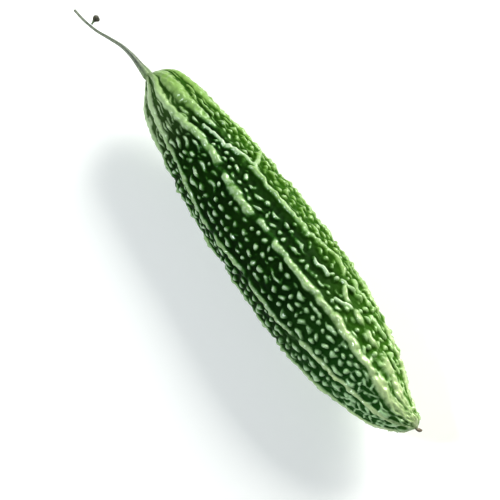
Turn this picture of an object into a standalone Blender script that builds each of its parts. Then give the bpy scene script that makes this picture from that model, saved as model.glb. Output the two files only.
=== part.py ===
"""A picked bitter gourd lying on its side: the ribbed, warty fruit, its cut stalk, the
shrivelled bract on the stalk and the dried flower scar at the fruit's tip.

Metres, +Z up. +X runs along the fruit from the stalk to the tip, and +Y is its right side
seen from above with the stalk at the back. The origin is the middle of the small flat spot
that the fruit rests on.
"""

import math

import bpy
import numpy as np

MM = 0.001

# Driving dimensions of the fruit
FRUIT_LENGTH = 235 * MM
SKIN_REACH = 250 * MM
SPOT_FROM_NECK = 120 * MM
SPOT_ASIDE = -0.9 * MM
VALLEY_LIFT = 1.1 * MM
CLEARANCE = 0.3 * MM

# The callus where the fruit rests: half its length and width, and its thickness
CALLUS_HALF_LENGTH = 15.5 * MM
CALLUS_HALF_WIDTH = 8.5 * MM
CALLUS_THICKNESS = 2.7 * MM

# Half section of the skin between the warts: distance from the neck and radius, in mm
SKIN_PROFILE = (
    (0, 2.6), (1.4, 3.4), (3.2, 5.4), (7.5, 9.1), (17, 13.7), (40, 17.9), (80, 22.3), (126, 24.6),
    (160, 24.2), (190, 20.4), (213, 14.1), (227, 8.0), (233, 4.1), (235, 1.2),
)
# Where the middle of the section runs: distance from the neck, aside and lift, in mm
MIDDLE_LINE = (
    (0, 0.6, 3.4), (3.2, 3.0, 3.3), (8, 4.1, 3.0), (17, 2.8, 2.5), (28, 1.8, 2.0), (60, 0.9, 0.5),
    (100, 0.3, -0.4), (125, -0.4, 0.3), (165, -2.0, 1.6), (205, -3.0, 3.2), (224, -3.3, 4.2),
    (235, 0.3, 5.2),
)

# The nine long ribs: angles round the fruit from its top towards +Y, in degrees, at these
# distances along the skin from the neck, in mm
RIB_STATIONS = (0, 30, 60, 95, 130, 155, 172, 200, 246)
RIB_ANGLES = (
    (-90, -84, -88, -101, -98, -96, -95, -92, -96),
    (-52, -51, -55, -72, -64, -60, -57, -54, -48),
    (-24, -23, -11, -12, -10, -8, -4, -5, 2),
    (2, 12, 20, 21, 26, 38, 22, 22, 27),
    (48, 46, 60, 71, 68, 63, 58, 56, 66),
    (90, 88, 97, 104, 102, 100, 99, 98, 108),
    (132, 129, 135, 137, 140, 138, 139, 141, 150),
    (172, 173, 176, 179, 181, 183, 182, 180, 186),
    (216, 218, 221, 223, 220, 218, 218, 221, 224),
)
# Where a rib is broken and starts again a little aside, in mm along the skin
RIB_BREAKS = (
    (62, 112, 160), (100, 131, 172), (80, 112, 125), (60, 66, 72, 78, 84, 163, 177, 189, 203), (92, 140, 188),
    (60, 133, 181), (84, 126, 170), (66, 110, 195), (75, 142),
)
# Each rib's height, and its width along the fruit, at the neck and at the tip, as shares of the usual ones
RIB_HEIGHTS = (0.9, 0.9, 1.1, 1.05, 0.9, 0.9, 1.0, 0.9, 0.95)
RIB_WIDTHS = (0.85, 0.85, 1.3, 1.0, 0.9, 0.95, 1.15, 0.95, 1.0)
RIB_NECK_WIDTHS = (1.3, 1.3, 1.4, 2.8, 2.1, 1.7, 1.6, 1.5, 1.5)
RIB_TIP_WIDTHS = (1.1, 1.1, 2.9, 2.6, 1.4, 1.3, 1.3, 1.3, 1.1)
RIB_HEIGHT = 3.1 * MM
RIB_HALF_WIDTH = 2.15 * MM
# A rib's broad foot: how far it spreads beyond the crest, and its share of the height
FOOT_SPREAD = 2.8 * MM
FOOT_SHARE = 0.3
# A rib is uneven: every so far along it, its height, sides and course are drawn anew
KNOB_SPACING = 6 * MM
KNOB_HEIGHTS = (0.6, 1.12)
KNOB_WIDTHS = (0.7, 1.2)
SWAY_SPACING = 20 * MM
SWAY_REACH = 0.6 * MM
RIB_WARP_SHARE = 0.5
# Half the length of a break, the share of the rib's height left there, and its step aside
BREAK_HALF_LENGTH = 3.4 * MM
BREAK_LEFT = 0.1
BREAK_STEP_LENGTH = 12 * MM
BREAK_STEP = math.radians(3.0)

# Where the relief rises from the neck and sinks again towards the tip, along the skin
RIBS_RISE = (2 * MM, 26 * MM)
KNOBS_RISE = (8 * MM, 75 * MM)
NECK_NARROWS = (20 * MM, 62 * MM)
RIBS_SINK = (200 * MM, 246 * MM)
TIP_RIB_SHARE = 0.45
TIP_WIDENS = (195 * MM, 235 * MM)
NECK_RIB_SHARE = 0.45
WARTS_RISE = (4 * MM, 45 * MM)
NECK_WART_SHARE = 0.5
BARE_NECK = 5 * MM
BARE_TIP = 7 * MM
# Ribs and warts are smaller where the fruit is thin: their share at no radius, and the full radius
THIN_SHARE = 0.3
FULL_RADIUS = 21 * MM

# The rows of warts between the ribs, how far the outer rows keep from a rib, in rows, and the
# smooth groove after the last row, where that gap between two ribs has one
ROW_ANGLE = math.radians(10.6)
ROWS_COUNTED_AT = 80 * MM
ROW_MARGIN = 0.95
GROOVES = (0, 0, 0.75, 0, 0, 0, 0, 0, 0)
GROOVES_END = (135 * MM, 162 * MM)
ROW_WANDER = 0.2
WARTS_FROM = 5 * MM
WARTS_TO = 240 * MM
WART_GAP = (-0.3 * MM, 1.3 * MM)
WART_HALF_LENGTH = (1.7 * MM, 3.1 * MM)
NECK_STRETCH = 3.2
STRETCH_ENDS = 60 * MM
LONG_WART_SHARE = 0.2
LONG_WART_STRETCH = (1.3, 2.1)
WART_HALF_WIDTH = (1.3 * MM, 2.1 * MM)
WART_MOST_WIDTH = 0.52
WART_HEIGHT = (1.2 * MM, 2.6 * MM)
WART_STEEPNESS = 0.8
WART_TILT = math.radians(10)
# Short ridges across the rows, from and to these distances along the skin and angles
LINKS = (
    ((53, 7), (68, 12)), ((68, 12), (86, 29)), ((86, 29), (83, 42)), ((83, 42), (78, 58)),
    ((86, 29), (97, 21)), ((170, 8), (178, 15)), ((186, 38), (197, 44)), ((206, 36), (215, 40)),
    ((174, 44), (182, 52)), ((148, 13), (157, 18)), ((164, 26), (170, 35)), ((165, 45), (172, 41)),
)
LINK_HALF_WIDTH = 1.6 * MM
LINK_HEIGHT = 2.3 * MM
# Ribs and warts join with rounded edges: their heights' powers are summed
BLEND = 4
# Growth pulled the pattern about by this much, over these lengths
WARP_REACH = 0.45 * MM
WARP_LENGTH = (7 * MM, 16 * MM)
WARP_WAVES = 16
MEAN_RADIUS = 20 * MM
SEED = 11
# Points on the half section, to space its rings evenly and to look its radius up
CURVE_SAMPLES = 2000
LOOKUP_SAMPLES = 400

# The cut stalk: its path from the neck in mm, and its radii in mm at shares of its length
STALK_PATH = (
    (0, 0, 0), (-2.5, 0, 0.08), (-6.3, -0.3, 0.7), (-13.5, -0.8, 2.0), (-20.6, -2.3, 3.3),
    (-28, -5.5, 4.5), (-35.2, -8.9, 5.6), (-42.8, -11.3, 7.3), (-50, -12.8, 9.8),
)
STALK_RADII = ((0, 2.6), (0.05, 2.4), (0.14, 1.85), (0.32, 1.15), (0.6, 0.75), (1, 0.62))
STALK_RINGS = 44
STALK_SIDES = 15
STALK_RIBS = 5
STALK_RIB_DEPTH = 0.13
STALK_TWIST = math.radians(200)

# The bract: how far along the stalk it grows, and its path and radii as above
BRACT_AT = 0.77
BRACT_PATH = ((-0.1, 0.75, 0.85), (-0.5, 1.9, 1.5), (-1.1, 3.9, 2.3), (-1.5, 5.7, 3.1))
BRACT_RADII = ((0, 0.55), (0.22, 0.5), (0.4, 0.95), (0.62, 1.7), (0.85, 1.5), (1, 0.4))
BRACT_RINGS = 14
BRACT_SIDES = 15
BRACT_FOLDS = 3
BRACT_FOLD_DEPTH = 0.3
# From where to where along it the knob's folds deepen
BRACT_KNOB = (0.3, 0.6)
BRACT_TWIST = math.radians(140)

# The dried flower scar at the tip, in the same way
SCAR_PATH = ((0, 0, 0), (0.9, 0.06, 0), (1.9, 0.7, 0.1), (2.7, 1.6, 0.4))
SCAR_RADII = ((0, 0.75), (0.3, 0.65), (0.6, 0.8), (0.85, 0.55), (1, 0.25))
SCAR_RINGS = 10
SCAR_SIDES = 12
SCAR_FOLDS = 4
SCAR_FOLD_DEPTH = 0.18
SCAR_TWIST = math.radians(120)

# How finely the skin is worked out, and the triangles left after thinning
RINGS = 330
SIDES = 252
FRUIT_TRIANGLES = 11400
# How deep the block is that cuts the fruit level with the surface under it
SLAB_DEPTH = 10 * MM


def smooth(at, knots, values):
    """Cubic curve through the values at the knots; each knot's slope comes from its neighbours."""
    at = np.asarray(at, float)
    knots = np.asarray(knots, float)
    values = np.asarray(values, float)
    slopes = np.gradient(values, knots)
    i = np.clip(np.searchsorted(knots, at) - 1, 0, len(knots) - 2)
    span = knots[i + 1] - knots[i]
    t = np.clip((at - knots[i]) / span, 0, 1)
    start = (1 + 2 * t) * (1 - t) ** 2 * values[i] + t * (1 - t) ** 2 * span * slopes[i]
    end = t * t * (3 - 2 * t) * values[i + 1] + t * t * (t - 1) * span * slopes[i + 1]
    return start + end


def ease(low, high, value):
    """0 below low, 1 above high, and a smooth step between them."""
    t = np.clip((value - low) / (high - low), 0, 1)
    return t * t * (3 - 2 * t)


def turned(angle):
    """The angle brought into -180 to 180 degrees."""
    return (angle + math.pi) % (2 * math.pi) - math.pi


def even_profile(count):
    """Points (x, radius) evenly spaced along the skin's half section, and their distance along it."""
    stations = np.array(SKIN_PROFILE) * MM
    chords = np.concatenate([[0], np.cumsum(np.hypot(*np.diff(stations, axis=0).T))])
    fine = np.linspace(0, chords[-1], CURVE_SAMPLES)
    x = smooth(fine, chords, stations[:, 0])
    radius = smooth(fine, chords, stations[:, 1])
    along = np.concatenate([[0], np.cumsum(np.hypot(np.diff(x), np.diff(radius)))])
    even = np.linspace(0, along[-1], count)
    return np.interp(even, along, x), np.interp(even, along, radius), even


def middle_line(x):
    """Sideways place and height of the section's middle: the lowest valley is VALLEY_LIFT above rest."""
    from_neck, aside, lift = np.array(MIDDLE_LINE).T * MM
    skin_x, radius, _ = even_profile(LOOKUP_SAMPLES)
    height = (radius - smooth(skin_x, from_neck, lift)).max() + VALLEY_LIFT
    return smooth(x, from_neck, aside), smooth(x, from_neck, lift) + height


def rib_angle(rib, along):
    """The rib's angle at these distances along the skin, with a step aside at each break."""
    lap, rib = divmod(rib, len(RIB_ANGLES))
    angle = smooth(along, np.array(RIB_STATIONS) * MM, np.radians(RIB_ANGLES[rib])) + 2 * math.pi * lap
    side = 1 if rib % 2 else -1
    for place in RIB_BREAKS[rib]:
        past = along - place * MM
        angle = angle + side * BREAK_STEP * (ease(-BREAK_STEP_LENGTH / 2, BREAK_STEP_LENGTH / 2, past) - 0.5)
        side = -side
    return angle


def thin_share(radius):
    """Size of the relief where the skin has this radius, as a share of its full size."""
    return np.minimum(1, THIN_SHARE + (1 - THIN_SHARE) * radius / FULL_RADIUS)


def drawn_curve(along, spacing, low, high, rng):
    """Smooth curve along the skin through seeded values between low and high."""
    knots = np.arange(-spacing, SKIN_REACH + 2 * spacing, spacing)
    return smooth(along, knots, rng.uniform(low, high, len(knots)))


def ribs_relief(along, angle, radius, rng):
    """Height of the ribs over the skin: crests on broad feet that knob, sway and break."""
    height = np.zeros(angle.shape)
    risen = ease(*RIBS_RISE, along)
    knobby = ease(*KNOBS_RISE, along)
    size = thin_share(radius)
    standing = NECK_RIB_SHARE + (1 - NECK_RIB_SHARE) * risen
    standing = standing * (1 - (1 - TIP_RIB_SHARE) * ease(*RIBS_SINK, along)) * size
    shapes = zip(RIB_HEIGHTS, RIB_WIDTHS, RIB_NECK_WIDTHS, RIB_TIP_WIDTHS)
    for rib, (tall, wide, neck_wide, tip_wide) in enumerate(shapes):
        knob = 1 + knobby * (drawn_curve(along, KNOB_SPACING, *KNOB_HEIGHTS, rng) - 1)
        left = 1 + knobby * (drawn_curve(along, KNOB_SPACING, *KNOB_WIDTHS, rng) - 1)
        right = 1 + knobby * (drawn_curve(along, KNOB_SPACING, *KNOB_WIDTHS, rng) - 1)
        sway = drawn_curve(along, SWAY_SPACING, -SWAY_REACH, SWAY_REACH, rng) * risen
        for place in RIB_BREAKS[rib]:
            past = (along - place * MM) / BREAK_HALF_LENGTH
            knob = knob * (1 - (1 - BREAK_LEFT) * np.exp(-(past**2)))
        aside = turned(angle - rib_angle(rib, along)) * radius - sway
        width = neck_wide + (wide - neck_wide) * ease(*NECK_NARROWS, along)
        half = RIB_HALF_WIDTH * size * (width + (tip_wide - wide) * ease(*TIP_WIDENS, along))
        across = np.clip(1 - (aside / (half * np.where(aside < 0, left, right))) ** 2, 0, 1)
        foot = np.clip(1 - (aside / (half + FOOT_SPREAD * size)) ** 2, 0, 1) ** 2
        raised = FOOT_SHARE * foot + (1 - FOOT_SHARE) * knob * across
        height = np.maximum(height, RIB_HEIGHT * tall * standing * raised)
    return height


def wart_list(rng):
    """Warts as (distance along, angle, half length, half width, height, tilt), in rows between ribs."""
    _, radii, path = even_profile(LOOKUP_SAMPLES)
    warts = []
    for rib in range(len(RIB_ANGLES)):
        gap = rib_angle(rib + 1, ROWS_COUNTED_AT) - rib_angle(rib, ROWS_COUNTED_AT)
        rows = max(2, round(gap / ROW_ANGLE) - 1)
        for row in range(rows):
            along = WARTS_FROM + rng.uniform(0, 4 * WART_HALF_LENGTH[0])
            while along < WARTS_TO:
                first = rib_angle(rib, along)
                groove = GROOVES[rib] * (1 - ease(*GROOVES_END, along))
                spaces = rows - 1 + 2 * ROW_MARGIN + groove
                row_angle = (rib_angle(rib + 1, along) - first) / spaces
                radius = np.interp(along, path, radii)
                size = thin_share(radius)
                half_width = min(rng.uniform(*WART_HALF_WIDTH) * size, WART_MOST_WIDTH * row_angle * radius)
                half_length = rng.uniform(*WART_HALF_LENGTH) * (1 + size) / 2
                half_length *= 1 + NECK_STRETCH * (1 - ease(0, STRETCH_ENDS, along))
                tilt = rng.uniform(-WART_TILT, WART_TILT)
                if rng.random() < LONG_WART_SHARE:
                    half_length *= rng.uniform(*LONG_WART_STRETCH)
                risen = NECK_WART_SHARE + (1 - NECK_WART_SHARE) * ease(*WARTS_RISE, along)
                height = rng.uniform(*WART_HEIGHT) * size * risen
                angle = float(first + row_angle * (ROW_MARGIN + row + rng.uniform(-ROW_WANDER, ROW_WANDER)))
                warts.append((along + half_length, angle, half_length, half_width, height, tilt * risen))
                along += 2 * half_length + rng.uniform(*WART_GAP)
    return warts


def warts_relief(along, angle, radius, warts):
    """Height of the warts over the skin: a steep-sided dome on an oval foot for each."""
    height = np.zeros(angle.shape)
    nearest, farthest = along.min(1), along.max(1)
    for place, at_angle, half_length, half_width, top, tilt in warts:
        near = np.nonzero((farthest > place - half_length) & (nearest < place + half_length))[0]
        ring = slice(near[0], near[-1] + 1)
        ahead = along[ring] - place
        across = turned(angle[ring] - at_angle) * radius[ring]
        lengthwise = ahead * math.cos(tilt) + across * math.sin(tilt)
        sideways = across * math.cos(tilt) - ahead * math.sin(tilt)
        dome = np.clip(1 - (lengthwise / half_length) ** 2 - (sideways / half_width) ** 2, 0, 1)
        height[ring] = np.maximum(height[ring], top * dome**WART_STEEPNESS)
    return height


def links_relief(along, angle, radius):
    """Height of the short ridges over the skin: a dome across the straight line of each."""
    crown = np.zeros(angle.shape)
    for (from_along, from_angle), (to_along, to_angle) in LINKS:
        ahead = along - from_along * MM
        across = turned(angle - math.radians(from_angle)) * radius
        reach = (to_along - from_along) * MM
        reach_across = math.radians(to_angle - from_angle) * radius
        share = np.clip((ahead * reach + across * reach_across) / (reach**2 + reach_across**2), 0, 1)
        distance = np.hypot(ahead - share * reach, across - share * reach_across)
        crown = np.maximum(crown, 1 - (distance / LINK_HALF_WIDTH) ** 2)
    return LINK_HEIGHT * thin_share(radius) * crown**WART_STEEPNESS


def callus_relief(x, angle, radius):
    """Height of the callus that fills the valleys where the fruit rests: a flat-topped oval."""
    across = turned(angle - math.pi) * radius
    foot = ((x - SPOT_FROM_NECK) / CALLUS_HALF_LENGTH) ** 2 + (across / CALLUS_HALF_WIDTH) ** 2
    return CALLUS_THICKNESS * np.clip(1 - foot, 0, 1) ** 0.5


def ripples(along, angle, lengths, count, rng):
    """Seeded unevenness between about -2 and 2: sine waves of these lengths in all directions, summed."""
    total = 0
    for _ in range(count):
        length = rng.uniform(*lengths)
        heading = rng.uniform(0, 2 * math.pi)
        round_it = round(2 * math.pi * MEAN_RADIUS / length * math.sin(heading))
        wave = 2 * math.pi * along / length * math.cos(heading) + round_it * angle
        total = total + np.sin(wave + rng.uniform(0, 2 * math.pi))
    return total / math.sqrt(count / 2)


def fruit_points():
    """Grid of points on the fruit, rings from the neck to the tip and sides round each ring."""
    x, radius, path = even_profile(RINGS)
    slope_x = np.gradient(x, path)[:, None]
    slope_r = np.gradient(radius, path)[:, None]
    middle_y, middle_z = middle_line(x[:, None])
    x, radius, along = x[:, None], radius[:, None], path[:, None]
    angle = np.linspace(-math.pi, math.pi, SIDES, endpoint=False)[None, :]
    rng = np.random.default_rng(SEED)
    size = thin_share(radius)
    pulled = along + WARP_REACH * size * ripples(along, angle, WARP_LENGTH, WARP_WAVES, rng)
    twist = WARP_REACH * size / radius * ripples(along, angle, WARP_LENGTH, WARP_WAVES, rng)
    twisted = angle + twist
    ribs = ribs_relief(along, angle + RIB_WARP_SHARE * twist, radius, rng)
    warts = warts_relief(pulled, twisted, radius, wart_list(rng))
    links = links_relief(pulled, twisted, radius)
    relief = (ribs**BLEND + warts**BLEND + links**BLEND) ** (1 / BLEND)
    relief = np.maximum(relief, callus_relief(x, angle, radius))
    relief *= ease(0, BARE_NECK, along) * ease(0, BARE_TIP, path[-1] - along)
    out = radius + relief * slope_x
    points = np.empty((RINGS, SIDES, 3))
    points[..., 0] = x - relief * slope_r - SPOT_FROM_NECK
    points[..., 1] = middle_y + out * np.sin(angle) - SPOT_ASIDE
    points[..., 2] = middle_z + out * np.cos(angle)
    return points


def closed_tube(name, points):
    """Mesh through a grid of rings, with a fan of triangles over each end."""
    rings, sides = points.shape[:2]
    index = np.arange(rings * sides).reshape(rings, sides)
    here, on = index[:-1], index[1:]
    quads = np.stack([here, on, np.roll(on, -1, 1), np.roll(here, -1, 1)], -1).reshape(-1, 4)
    first, last = rings * sides, rings * sides + 1
    start = [(first, int(a), int(b)) for a, b in zip(index[0], np.roll(index[0], -1))]
    end = [(last, int(b), int(a)) for a, b in zip(index[-1], np.roll(index[-1], -1))]
    ends = np.stack([points[0].mean(0), points[-1].mean(0)])
    mesh = bpy.data.meshes.new(name)
    mesh.from_pydata(np.concatenate([points.reshape(-1, 3), ends]).tolist(), [], quads.tolist() + start + end)
    mesh.shade_smooth()
    return mesh


def material(name, colour, roughness):
    """Principled material in one colour."""
    made = bpy.data.materials.new(name)
    made.use_nodes = True
    shader = made.node_tree.nodes["Principled BSDF"]
    shader.inputs["Base Color"].default_value = (*colour, 1)
    shader.inputs["Roughness"].default_value = roughness
    shader.inputs["Metallic"].default_value = 0
    return made


def add_node(name, mesh, finish):
    """Object of this mesh and material in the scene."""
    mesh.materials.append(finish)
    node = bpy.data.objects.new(name, mesh)
    bpy.context.scene.collection.objects.link(node)
    return node


def make_fruit():
    """The fruit: one solid, its skin worked out finely, thinned to flat facets and cut flat below."""
    mesh = closed_tube("fruit", fruit_points())
    node = add_node("fruit", mesh, material("fruit_skin", (0.10, 0.24, 0.04), 0.4))
    thin = node.modifiers.new("thin", "DECIMATE")
    thin.ratio = FRUIT_TRIANGLES / (2 * RINGS * SIDES)
    bpy.ops.mesh.primitive_cube_add(size=1, location=(0, 0, -SLAB_DEPTH / 2))
    slab = bpy.context.object
    slab.name = "resting_plane_cutter"
    slab.scale = (FRUIT_LENGTH, FRUIT_LENGTH / 2, SLAB_DEPTH)
    slab.hide_render = True
    slab.display_type = "WIRE"
    flat = node.modifiers.new("flat", "BOOLEAN")
    flat.operation = "DIFFERENCE"
    flat.object = slab


def swept(path, radii, across, sides, lobes, depth, twist):
    """Grid of points round a path: rings square to it, of these radii, their section lobed."""
    ahead = np.gradient(path, axis=0)
    ahead /= np.linalg.norm(ahead, axis=1, keepdims=True)
    side = np.cross(across, ahead)
    side /= np.linalg.norm(side, axis=1, keepdims=True)
    up = np.cross(ahead, side)
    angle = np.linspace(-math.pi, math.pi, sides, endpoint=False)[None, :]
    turn = twist * np.linspace(0, 1, len(path))[:, None]
    out = radii[:, None] * (1 + depth * np.cos(lobes * angle + turn))
    ring = up[:, None, :] * np.cos(angle)[..., None] + side[:, None, :] * np.sin(angle)[..., None]
    return path[:, None, :] + ring * out[..., None]


def smooth_path(stations, count):
    """Evenly spaced points on a smooth curve through the stations, which are in mm."""
    stations = np.array(stations) * MM
    chords = np.concatenate([[0], np.cumsum(np.linalg.norm(np.diff(stations, axis=0), axis=1))])
    even = np.linspace(0, chords[-1], count)
    return np.stack([smooth(even, chords, stations[:, i]) for i in range(3)], 1)


def on_middle_line(x):
    """The point on the section's middle line at this distance from the neck."""
    aside, height = middle_line(x)
    return np.array([x - SPOT_FROM_NECK, aside - SPOT_ASIDE, height])


def make_stalk():
    """The cut stalk: a five-ribbed stem that flares into the neck and bends aside."""
    path = smooth_path(STALK_PATH, STALK_RINGS) + on_middle_line(0) - (CLEARANCE, 0, 0)
    radii = smooth(np.linspace(0, 1, STALK_RINGS), *np.array(STALK_RADII).T) * MM
    points = swept(path, radii, (0, 0, 1), STALK_SIDES, STALK_RIBS, STALK_RIB_DEPTH, STALK_TWIST)
    add_node("stalk", closed_tube("stalk", points), material("stalk_green", (0.20, 0.27, 0.14), 0.6))
    return path


def make_bract(stalk_path):
    """The bract: a small leaf on its own short stem, dried and furled to a dark knob."""
    foot = stalk_path[round(BRACT_AT * (STALK_RINGS - 1))]
    path = smooth_path(BRACT_PATH, BRACT_RINGS) + foot
    length = np.linspace(0, 1, BRACT_RINGS)
    radii = smooth(length, *np.array(BRACT_RADII).T) * MM
    depth = BRACT_FOLD_DEPTH * ease(*BRACT_KNOB, length)
    points = swept(path, radii, (1, 0, 0), BRACT_SIDES, BRACT_FOLDS, depth[:, None], BRACT_TWIST)
    add_node("bract", closed_tube("bract", points), material("bract_dry", (0.035, 0.035, 0.02), 0.8))


def make_flower_scar():
    """The withered foot of the flower, still on the fruit's tip."""
    path = smooth_path(SCAR_PATH, SCAR_RINGS) + on_middle_line(FRUIT_LENGTH) + (CLEARANCE, 0, 0)
    radii = smooth(np.linspace(0, 1, SCAR_RINGS), *np.array(SCAR_RADII).T) * MM
    points = swept(path, radii, (0, 0, 1), SCAR_SIDES, SCAR_FOLDS, SCAR_FOLD_DEPTH, SCAR_TWIST)
    mesh = closed_tube("flower_scar", points)
    add_node("flower_scar", mesh, material("scar_brown", (0.23, 0.16, 0.09), 0.85))


for old in list(bpy.data.objects):
    bpy.data.objects.remove(old)
make_fruit()
make_bract(make_stalk())
make_flower_scar()
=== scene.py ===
import math

import bpy
import numpy as np
from mathutils import Matrix, Vector


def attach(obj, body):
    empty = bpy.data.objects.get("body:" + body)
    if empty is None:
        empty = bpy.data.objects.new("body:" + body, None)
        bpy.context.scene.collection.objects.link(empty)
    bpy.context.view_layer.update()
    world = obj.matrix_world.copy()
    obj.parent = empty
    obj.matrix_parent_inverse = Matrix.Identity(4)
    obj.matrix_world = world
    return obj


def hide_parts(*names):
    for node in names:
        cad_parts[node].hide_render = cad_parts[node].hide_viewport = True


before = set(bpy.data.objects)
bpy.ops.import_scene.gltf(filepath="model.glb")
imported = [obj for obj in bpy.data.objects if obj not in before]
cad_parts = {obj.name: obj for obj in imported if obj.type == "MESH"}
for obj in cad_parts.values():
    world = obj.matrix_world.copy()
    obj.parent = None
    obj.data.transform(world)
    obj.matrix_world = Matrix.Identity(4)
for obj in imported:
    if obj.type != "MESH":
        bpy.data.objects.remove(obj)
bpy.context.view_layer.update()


# The fruit. A bitter gourd's skin is thin and waxy over spongy flesh. It grows as nine long
# ribs, pale along their crests, with rows of warts between them and dark green valleys.
# It was picked unripe, so only the tip has begun to pale.

MM = 0.001
FRUIT_LENGTH = 235 * MM
SKIN_REACH = 250 * MM
SPOT_FROM_NECK = 120 * MM
SPOT_ASIDE = -0.9 * MM
VALLEY_LIFT = 1.1 * MM
CALLUS_HALF_LENGTH = 15.5 * MM
CALLUS_HALF_WIDTH = 8.5 * MM
CALLUS_THICKNESS = 2.7 * MM

# Half section of the skin: distance from the neck and radius, in mm
SKIN_PROFILE = (
    (0, 2.6), (1.4, 3.4), (3.2, 5.4), (7.5, 9.1), (17, 13.7), (40, 17.9), (80, 22.3), (126, 24.6),
    (160, 24.2), (190, 20.4), (213, 14.1), (227, 8.0), (233, 4.1), (235, 1.2),
)
# Where the middle of the section runs: distance from the neck, aside and lift, in mm
MIDDLE_LINE = (
    (0, 0.6, 3.4), (3.2, 3.0, 3.3), (8, 4.1, 3.0), (17, 2.8, 2.5), (28, 1.8, 2.0), (60, 0.9, 0.5),
    (100, 0.3, -0.4), (125, -0.4, 0.3), (165, -2.0, 1.6), (205, -3.0, 3.2), (224, -3.3, 4.2),
    (235, 0.3, 5.2),
)
# The ribs' angles round the fruit from its top towards +Y, in degrees, at these distances
# along the skin, in mm, and the places where each is broken
RIB_STATIONS = (0, 30, 60, 95, 130, 155, 172, 200, 246)
RIB_ANGLES = (
    (-90, -84, -88, -101, -98, -96, -95, -92, -96),
    (-52, -51, -55, -72, -64, -60, -57, -54, -48),
    (-24, -23, -11, -12, -10, -8, -4, -5, 2),
    (2, 12, 20, 21, 26, 38, 22, 22, 27),
    (48, 46, 60, 71, 68, 63, 58, 56, 66),
    (90, 88, 97, 104, 102, 100, 99, 98, 108),
    (132, 129, 135, 137, 140, 138, 139, 141, 150),
    (172, 173, 176, 179, 181, 183, 182, 180, 186),
    (216, 218, 221, 223, 220, 218, 218, 221, 224),
)
RIB_BREAKS = (
    (62, 112, 160), (100, 131, 172), (80, 112, 125), (60, 66, 72, 78, 84, 163, 177, 189, 203),
    (92, 140, 188), (60, 133, 181), (84, 126, 170), (66, 110, 195), (75, 142),
)
# Each rib's height, and its width along the fruit, at the neck and at the tip, as shares of the
# usual ones
RIB_HEIGHTS = (0.9, 0.9, 1.1, 1.05, 0.9, 0.9, 1.0, 0.9, 0.95)
RIB_WIDTHS = (0.85, 0.85, 1.3, 1.0, 0.9, 0.95, 1.15, 0.95, 1.0)
RIB_NECK_WIDTHS = (1.3, 1.3, 1.4, 2.8, 2.1, 1.7, 1.6, 1.5, 1.5)
RIB_TIP_WIDTHS = (1.1, 1.1, 2.9, 2.6, 1.4, 1.3, 1.3, 1.3, 1.1)
RIB_HEIGHT = 3.1 * MM
RIB_HALF_WIDTH = 2.15 * MM
# A rib's broad foot: how far it spreads beyond the crest, and its share of the height
FOOT_SPREAD = 2.8 * MM
FOOT_SHARE = 0.3
# A rib is uneven: every so far along it, its height, sides and course are drawn anew
KNOB_SPACING = 6 * MM
KNOB_HEIGHTS = (0.6, 1.12)
KNOB_WIDTHS = (0.7, 1.2)
SWAY_SPACING = 20 * MM
SWAY_REACH = 0.6 * MM
RIB_WARP_SHARE = 0.5
# Half the length of a break, the share of the rib's height left there, and its step aside
BREAK_HALF_LENGTH = 3.4 * MM
BREAK_LEFT = 0.1
BREAK_STEP_LENGTH = 12 * MM
BREAK_STEP = math.radians(3.0)
# Between these distances along the skin the ribs rise, grow uneven, narrow, sink and widen, and
# the warts rise. At the neck and at the tip they keep these shares of their height
RIBS_RISE = (2 * MM, 26 * MM)
KNOBS_RISE = (8 * MM, 75 * MM)
NECK_NARROWS = (20 * MM, 62 * MM)
RIBS_SINK = (200 * MM, 246 * MM)
TIP_RIB_SHARE = 0.45
TIP_WIDENS = (195 * MM, 235 * MM)
NECK_RIB_SHARE = 0.45
WARTS_RISE = (4 * MM, 45 * MM)
NECK_WART_SHARE = 0.5
# All relief fades out over this much of the skin at either end, and it is smaller where the
# fruit is thin: by this share at no radius, up to its full size at the full one
BARE_NECK = 5 * MM
BARE_TIP = 7 * MM
THIN_SHARE = 0.3
FULL_RADIUS = 21 * MM

# The rows of warts between the ribs, how far the outer rows keep from a rib, in rows, and the
# smooth groove after the last row, where that gap between two ribs has one
ROW_ANGLE = math.radians(10.6)
LEAST_ROWS = 2
ROWS_COUNTED_AT = 80 * MM
ROW_MARGIN = 0.95
GROOVES = (0, 0, 0.75, 0, 0, 0, 0, 0, 0)
GROOVES_END = (135 * MM, 162 * MM)
ROW_WANDER = 0.2
WARTS_FROM = 5 * MM
WARTS_TO = 240 * MM
# The warts' sizes and gaps, drawn between two values. Towards the neck they are longer, at the
# neck itself by NECK_STRETCH times their length, and a share of them is longer everywhere
WART_GAP = (-0.3 * MM, 1.3 * MM)
WART_HALF_LENGTH = (1.7 * MM, 3.1 * MM)
NECK_STRETCH = 3.2
STRETCH_ENDS = 60 * MM
LONG_WART_SHARE = 0.2
LONG_WART_STRETCH = (1.3, 2.1)
WART_HALF_WIDTH = (1.3 * MM, 2.1 * MM)
WART_MOST_WIDTH = 0.52
WART_HEIGHT = (1.2 * MM, 2.6 * MM)
WART_STEEPNESS = 0.8
WART_TILT = math.radians(10)
# Short ridges across the rows, from and to these distances along the skin, in mm, and angles,
# in degrees
LINKS = (
    ((53, 7), (68, 12)), ((68, 12), (86, 29)), ((86, 29), (83, 42)), ((83, 42), (78, 58)),
    ((86, 29), (97, 21)), ((170, 8), (178, 15)), ((186, 38), (197, 44)), ((206, 36), (215, 40)),
    ((174, 44), (182, 52)), ((148, 13), (157, 18)), ((164, 26), (170, 35)), ((165, 45), (172, 41)),
)
LINK_HALF_WIDTH = 1.6 * MM
LINK_HEIGHT = 2.3 * MM
# Ribs and warts join with rounded edges: their heights' powers are summed
BLEND = 4
# Growth pulled the pattern about by this much, over these lengths
WARP_REACH = 0.45 * MM
WARP_LENGTH = (7 * MM, 16 * MM)
WARP_WAVES = 16
MEAN_RADIUS = 20 * MM
SEED = 11
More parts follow.
